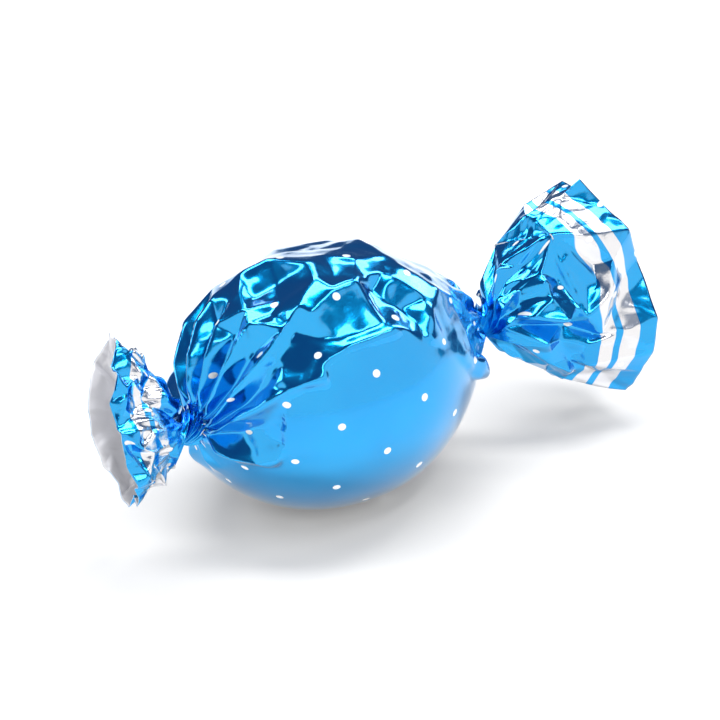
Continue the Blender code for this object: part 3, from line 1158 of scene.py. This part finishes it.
# The line between the loose film above it and the tight film below: mm along the film and degrees round it
CREASE_LINE = (
    (-23.1, 218), (-19.5, 207), (-16.6, 202), (-14.7, 197), (-14.4, 178), (-14.0, 160), (-13.0, 151),
    (-11.3, 148.5), (-8.9, 151), (-8.5, 143), (-7.4, 141), (-5.8, 140), (-3.0, 140.5), (-0.5, 141),
    (0.6, 140.5), (3.0, 146), (5.5, 153.5), (8.0, 163), (9.3, 168), (12.0, 182), (14.5, 190), (18.0, 200),
    (22.4, 208),
)
# Folds over the sweet: mm along the film from its middle, degrees round it, and height in mm at each turn
FOLDS = (
    # ridges and valleys from the left twist, from behind to the front
    ((-22.4, 58, 0.4), (-21.2, 52, 0.8), (-18.5, 44, 1.1), (-14, 46, 1.1), (-9.4, 53, 0.8)),
    ((-22.4, 70, -0.4), (-21.2, 64, -0.8), (-18.3, 56, -0.8), (-14, 55, -0.2)),
    ((-22.4, 84, 0.5), (-21.2, 77, 0.9), (-18, 68, 1.2), (-14.5, 64, 1.3), (-11.5, 63, 1)),
    ((-22.4, 98, -0.5), (-21, 90, -0.9), (-18, 80, -1), (-14.3, 73, -0.7)),
    ((-22.4, 111, 0.5), (-21.2, 103, 0.9), (-18, 91, 1.2), (-14.5, 82, 1.1), (-11.5, 77, 0.6)),
    ((-22.4, 124, -0.5), (-21, 114, -0.9), (-17.8, 102, -1.1), (-14.2, 93, -0.8)),
    ((-22.4, 136, 0.5), (-21.2, 126, 0.9), (-18, 113, 1.1), (-15, 104, 0.9), (-12.6, 98, 0.4)),
    ((-22.4, 149, -0.5), (-21, 136, -0.9), (-17.8, 124, -1.1), (-14.6, 114, -0.9)),
    (
        (-22.4, 161, 0.5), (-21.4, 148, 1), (-18, 134, 1.2), (-15, 126, 1.1), (-12.9, 121, 0.6),
        (-10.2, 115, 0.3),
    ),
    ((-22.4, 172, -0.5), (-21, 160, -0.9), (-17.8, 147, -1), (-15.2, 139, -0.7), (-12.3, 127, -0.7)),
    (
        (-22.4, 181, 0.5), (-21.4, 166, 1), (-19, 156, 1.2), (-15.4, 150, 1), (-12.8, 147, 0.8),
        (-10.8, 147, 0.9), (-8.8, 148, 0.7),
    ),
    ((-22.4, 192, -0.5), (-21, 183, -1.1), (-18.8, 176, -1.2), (-16.6, 175, -0.6)),
    ((-22.4, 204, 0.5), (-21.2, 202, 1.1), (-19, 197, 1.4), (-16.4, 195, 1.2), (-15.2, 192, 0.7)),
    ((-22.4, 218, -0.4), (-21, 214, -0.4), (-18.5, 210, -0.1)),
    # a leaf-shaped fold on the shoulder
    (
        (-11.6, 91, 0.5), (-10.3, 80, 0.8), (-8.2, 71, 1.1), (-5.6, 76, 1.1), (-3.8, 94, 0.9),
        (-4.6, 103, 0.8), (-7.9, 111, 0.6),
    ),
    ((-9.8, 84, -0.5), (-7, 87, -0.7), (-8.2, 99, -0.6), (-10.2, 102, -0.5)),
    # the flat facet in the middle, and the dark hollow to the left of it
    ((-7.2, 116, 0.65), (-4.1, 112, 0.9), (-1.2, 112, 0.7)),
    ((-7.4, 130, -0.3), (-5.4, 134, -0.3), (-3.2, 134.5, -0.35), (-0.7, 135, -0.3)),
    (
        (-8.3, 136, 0.1), (-7.2, 139.5, 0.3), (-6.2, 137.5, 0.05), (-5.5, 138, 0.25), (-3, 138.8, 0.2),
        (-0.4, 139, 0.2),
    ),
    ((-9.4, 119, -0.7), (-8.2, 126, -0.6), (-8.6, 137, 0.1)),
    # a raised facet towards the right, and the step below it
    ((0.2, 112.2, 0.07), (2.7, 110, -0.02), (5.1, 124, 0.29), (5.7, 134.6, 0.53)),
    ((0.4, 115, -1.04), (2.2, 127.4, -0.9), (3.5, 137.7, -0.74)),
    # the top, behind
    ((-1.5, 89.4, 0.58), (-2.5, 105.4, 0.02)),
    ((2.4, 87.5, 0.1), (0.9, 100.3, 0.7)),
    # towards the right twist
    ((5.4, 106, 0.3), (8.3, 124.3, 0.75), (8.1, 142.9, -0.02)),
    ((4.9, 99.7, 0.34), (9.8, 107.7, -0.06)),
    ((11.1, 127.7, 0.34), (11.4, 149.6, -0.06)),
    ((9.6, 162.4, -0.07), (11.1, 167, 0.24), (13, 173, 0.95), (14.1, 183, 1)),
    ((14.6, 168, -0.3), (15.6, 178, -0.5), (16.6, 188, -0.4)),
)
# Folds of the tails: mm along the film from the twist, degrees round it, and height in mm at each turn
RIGHT_TAIL_FOLDS = (
    # a rounded ridge over a hollow
    (
        (6.5, 245, 0.1), (8.1, 268, -0.8), (11.4, 274, 1.1), (13.7, 287, 0.6), (15.8, 307, 0.8),
        (16, 331, -1.5),
    ),
    # the hollow: a valley, the ridges on both sides of it, and the creases nearer to the twist
    ((10, 29, 0.5), (10, 304, -1.1), (10.7, 331, -0.3), (9.6, 348, -0.8)),
    ((8, 304, 0.3), (7.6, 318, 1.3), (9.1, 339, 1.3)),
    ((13.2, 318, 0.4), (14.3, 327, 0.5), (13.3, 353, 0.5)),
    ((9.5, 1, -0.5), (7.2, 1, 1.3)),
    ((11.5, 22, -1), (12.2, 1, 0)),
    ((5.9, 294, -1.5), (4.7, 334, -1.3)),
    # the way up to the corner of the nearer layer
    ((4.6, 218, 0.2), (8.5, 24, 0.7), (12, 239, 1.5), (15.2, 241, 0.6), (19.4, 239, 0)),
    ((3.5, 211, 0.5), (8.8, 212, 0.3), (14.6, 212, 0.5), (19.4, 225, 0.2)),
    # the lower side
    ((10.9, 25, 0.8), (12.9, 354, -0.7), (16.2, 349, 1.1)),
    ((7, 48, -0.1), (10.3, 62, 0.2), (15.2, 28, -0.5)),
    # the floor of the hollow and the way out of it
    ((14.4, 303, -1.2), (12, 318, 0.3), (12.5, 33, 0)),
    ((9.6, 32, -0.3), (11.4, 338, 0.4), (16.7, 319, -0.4)),
    ((13.5, 266, 0.9), (16.7, 292, 0.1), (19.4, 296, -0.1)),
)
LEFT_TAIL_FOLDS = (
    ((4.7, 315, -0.2), (7.6, 302, 0.2), (8.3, 301, 0.4), (10.2, 302, 0.9), (12.1, 302, -0.4)),
    ((3.3, 326, 0.4), (7.5, 32, -0.3), (8.9, 318, 0.4), (10.9, 318, -0.7), (12.1, 309, -0.6)),
    ((3.8, 342, 0.9), (5.9, 338, 1.1), (8.5, 336, -0.4), (10.6, 333, 0.1), (12.1, 326, 0.4)),
    ((4.2, 349, -0.5), (7.4, 343, 0.4), (8.9, 35, 0.6), (11.1, 349, 0.3), (12.1, 342, -0.5)),
    ((5.1, 8, -0.2), (6.5, 6, -0.1), (8, 4, -0.1), (10.7, 16, 1.1), (12.1, 1, -0.6)),
    ((4.8, 23, 0.9), (7, 21, 0.8), (8.8, 22, 1.2), (10.8, 21, -0.8), (12.1, 3, -0.4)),
    ((3.6, 3, -0.2), (6.1, 39, -0.7), (8.9, 37, -0.2), (10.2, 38, 0.9), (12.1, 44, -0.1)),
    ((4.8, 68, -0.1), (5.8, 57, -0.3), (8.5, 7, 0.6), (9.3, 49, 0.2), (12.1, 55, 0.1)),
    ((3.7, 63, 0), (5.3, 75, -0.5), (7, 81, -0.4), (10.1, 64, -0.2), (12.1, 7, -0.4)),
)
# Pleats of each twist: degrees round the film, height, reach in mm and depth of the valley beside it
LEFT_PLEATS = Pleats(
    (
        (8, 0.8, 9.0, 0.7), (44, 0.9, 12.0, 0.8), (76, 0.8, 14.0, 0.9), (98, 1.0, 11.0, 0.7),
        (117, 0.8, 15.0, 1.0), (139, 1.0, 12.5, 0.8), (158, 0.8, 14.0, 1.0), (184, 0.9, 7.5, 0.7),
        (212, 1.0, 7.0, 1.0), (248, 0.7, 5.0, 0.5), (284, 0.8, 6.0, 0.6), (326, 0.9, 8.0, 0.7),
    ),
    seed=4,
    set_apart=(40.0, 235.0),
)
RIGHT_PLEATS = Pleats(
    (
        (14, 0.9, 8.0, 0.8), (52, 0.8, 9.5, 0.7), (88, 1.0, 7.5, 0.9), (118, 0.8, 9.0, 0.8),
        (146, 0.9, 6.5, 1.0), (176, 1.0, 5.0, 0.7), (214, 0.45, 5.5, 0.9), (254, 0.9, 5.0, 0.6),
        (296, 0.8, 6.0, 0.8), (334, 1.0, 7.0, 0.7),
    ),
    seed=9,
)
SWEET = Sweet()
LEFT_TAIL = Tail(
    end=End.LEFT,
    sweet=SWEET,
    pleats=LEFT_PLEATS,
    length=10.1 * MM,
    wide_flare=(66.0, 24.0),
    thin_flare=(12.0, -11.0),
    flat_deg=50.0,
    lead=0.02,
    lead_deg=321.0,
    ruffle=1.2 * MM,
    squash=0.7,
    turn_deg=150.0,
    rise_deg=24.0,
    swing_deg=0.0,
    seed=31,
    facet_step=3.0 * MM,
    facet_height=0.6 * MM,
    crumple=((2.2, 0.34), (1.1, 0.12)),
    pleat_share=0.55,
    folds=LEFT_TAIL_FOLDS,
)
RIGHT_TAIL = Tail(
    end=End.RIGHT,
    sweet=SWEET,
    pleats=RIGHT_PLEATS,
    length=17.4 * MM,
    wide_flare=(54.0, 15.0),
    thin_flare=(28.0, -8.0),
    flat_deg=58.0,
    lead=0.06,
    lead_deg=148.0,
    ruffle=1.5 * MM,
    squash=1.0,
    turn_deg=-170.0,
    rise_deg=-1.0,
    swing_deg=-4.0,
    seed=52,
    facet_step=5.0 * MM,
    facet_height=1.25 * MM,
    crumple=((2.6, 0.14), (1.3, 0.05)),
    pleat_share=0.6,
    folds=RIGHT_TAIL_FOLDS,
)


def main() -> None:
    """Build the pieces of film over the frame, dress them and set up the studio."""
    logging.basicConfig(level=logging.INFO, format="%(name)s: %(message)s")
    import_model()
    patches = {
        "sweet_film": SWEET.patch(LEFT_PLEATS, RIGHT_PLEATS),
        "left_tail_film": LEFT_TAIL.patch(),
        "right_tail_film": RIGHT_TAIL.patch(),
    }
    spots = np.concatenate([p.points.reshape(-1, 3) for p in patches.values()])
    low, high = (np.array(corner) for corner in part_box(NODE))
    shift = (low + high) / 2 - (spots.min(0) + spots.max(0)) / 2
    shift[2] = 0.0
    material = FilmFinish().material()
    for name, patch in patches.items():
        patch.points[...] += shift
        piece = patch.build(name)
        piece.data.materials.append(material)
        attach(piece, "root")
        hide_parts(NODE)
        log.info("%s has %d points", name, len(piece.data.vertices))
    Studio().build()


if __name__ == "__main__":
    main()
